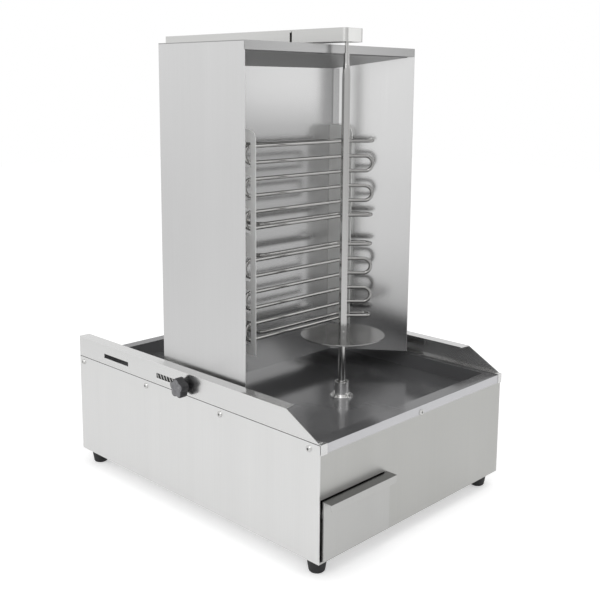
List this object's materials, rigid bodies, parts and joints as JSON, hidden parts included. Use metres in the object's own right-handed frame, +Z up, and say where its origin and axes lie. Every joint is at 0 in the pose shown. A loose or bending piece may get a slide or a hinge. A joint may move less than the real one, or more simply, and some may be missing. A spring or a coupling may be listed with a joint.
{
  "type": "doner kebab grill",
  "caption": "Countertop electric doner kebab grill: driven upright spit, sliding heating tower with tube elements, drip tray and a grease drawer in the base.",
  "frame": {"origin": "on the floor under the middle of the base", "axes": "+Z up, the drawer and the spit are on the -Y side, +X to the right seen from the front"},
  "size_m": [0.488, 0.628, 0.7695],
  "materials": {
    "brushed_steel": "brushed, upright grain",
    "tray_steel": "bright rolled sheet, reflecting",
    "inner_steel": "plain rolled sheet",
    "stamped_steel": "bright stamped sheet",
    "polished_steel": "turned and polished",
    "screw_steel": "bright pan heads",
    "element_tube": "heat stained tube",
    "black_plastic": "moulded, satin",
    "black_rubber": "moulded",
    "cast_case": "die cast",
    "motor_paint": "painted",
    "gear_steel": "machined",
    "seal_rubber": "moulded",
    "ceramic": "unglazed"
  },
  "bodies": {
    "base": {"floor_plate": "inner_steel", "side_panel_left": "brushed_steel", "side_panel_right": "brushed_steel", "front_panel": "brushed_steel", "rear_panel": "inner_steel", "drip_tray": "tray_steel", "guard_left": "brushed_steel", "guard_right": "brushed_steel", "feet": "black_rubber", "panel_screws": "screw_steel", "bay_wall": "inner_steel", "drawer_runners": "inner_steel", "support_post": "brushed_steel", "arm_rear": "brushed_steel", "arm_hinge_pin": "polished_steel", "gearbox_case": "cast_case", "gearbox_cover": "cast_case", "motor_can": "motor_paint", "shaft_bearings": "gear_steel", "shaft_seal": "seal_rubber", "bearing_flange": "polished_steel", "flange_screws": "polished_steel", "heat_regulators": "motor_paint", "switch_body": "black_plastic", "mains_gland": "black_plastic"},
    "tower": {"tower_side_left": "brushed_steel", "tower_side_right": "brushed_steel", "tower_rear_cover": "inner_steel", "tower_top_cap": "brushed_steel", "tower_floor": "inner_steel", "reflector_back": "tray_steel", "reflector_wing_left": "brushed_steel", "reflector_wing_right": "brushed_steel", "reflector_ceiling": "tray_steel", "element_upper": "element_tube", "element_lower": "element_tube", "element_bracket_left": "stamped_steel", "element_bracket_right": "stamped_steel", "element_bushes": "ceramic", "terminal_blocks": "ceramic", "slide_bracket_left": "stamped_steel", "slide_bracket_right": "stamped_steel"},
    "knob_left": {"clamp_knob_left": "black_plastic", "clamp_stud_left": "polished_steel"},
    "knob_right": {"clamp_knob_right": "black_plastic", "clamp_stud_right": "polished_steel"},
    "drawer": {"drawer_box": "inner_steel", "drawer_front": "brushed_steel"},
    "spit": {"drive_gear": "gear_steel", "drive_shaft": "polished_steel", "drive_socket": "polished_steel", "cross_pins": "polished_steel", "spit_bar": "polished_steel", "meat_disc": "polished_steel"},
    "motor_shaft": {"motor_pinion": "gear_steel"},
    "arm": {"arm_front": "brushed_steel"},
    "dial_upper": {"heat_dial_upper": "black_plastic"},
    "dial_lower": {"heat_dial_lower": "black_plastic"},
    "rocker": {"motor_rocker": "black_plastic"}
  },
  "joints": [
    {"name": "tower_slide", "type": "slide", "parent": "base", "child": "tower", "axis": [0, 1, 0], "range_m": [0, 0.07]},
    {"name": "knob_left_turn", "type": "hinge", "parent": "tower", "child": "knob_left", "pos_m": [-0.225, -0.006, 0.215], "axis": [-1, 0, 0], "range_deg": [0, 360]},
    {"name": "knob_right_turn", "type": "hinge", "parent": "tower", "child": "knob_right", "pos_m": [0.225, -0.006, 0.215], "axis": [1, 0, 0], "range_deg": [0, 360]},
    {"name": "drawer_slide", "type": "slide", "parent": "base", "child": "drawer", "axis": [0, -1, 0], "range_m": [0, 0.25]},
    {"name": "spit_spin", "type": "hinge", "parent": "base", "child": "spit", "pos_m": [0, -0.1344, 0.2], "axis": [0, 0, 1], "continuous": true},
    {"name": "motor_spin", "type": "hinge", "parent": "base", "child": "motor_shaft", "pos_m": [0.045, -0.1344, 0.14], "axis": [0, 0, 1], "continuous": true},
    {"name": "arm_lift", "type": "hinge", "parent": "base", "child": "arm", "pos_m": [0, -0.03375, 0.7673], "axis": [-1, 0, 0], "range_deg": [0, 95]},
    {"name": "dial_upper_turn", "type": "hinge", "parent": "base", "child": "dial_upper", "pos_m": [0.225, -0.206, 0.112], "axis": [-1, 0, 0], "range_deg": [0, 270]},
    {"name": "dial_lower_turn", "type": "hinge", "parent": "base", "child": "dial_lower", "pos_m": [0.225, -0.144, 0.112], "axis": [-1, 0, 0], "range_deg": [0, 270]},
    {"name": "rocker_tilt", "type": "hinge", "parent": "base", "child": "rocker", "pos_m": [0.2195, -0.082, 0.112], "axis": [0, -1, 0], "range_deg": [0, 16]}
  ],
  "couplings": [
    {"joint": "motor_spin", "follows": "spit_spin", "ratio": -4}
  ]
}
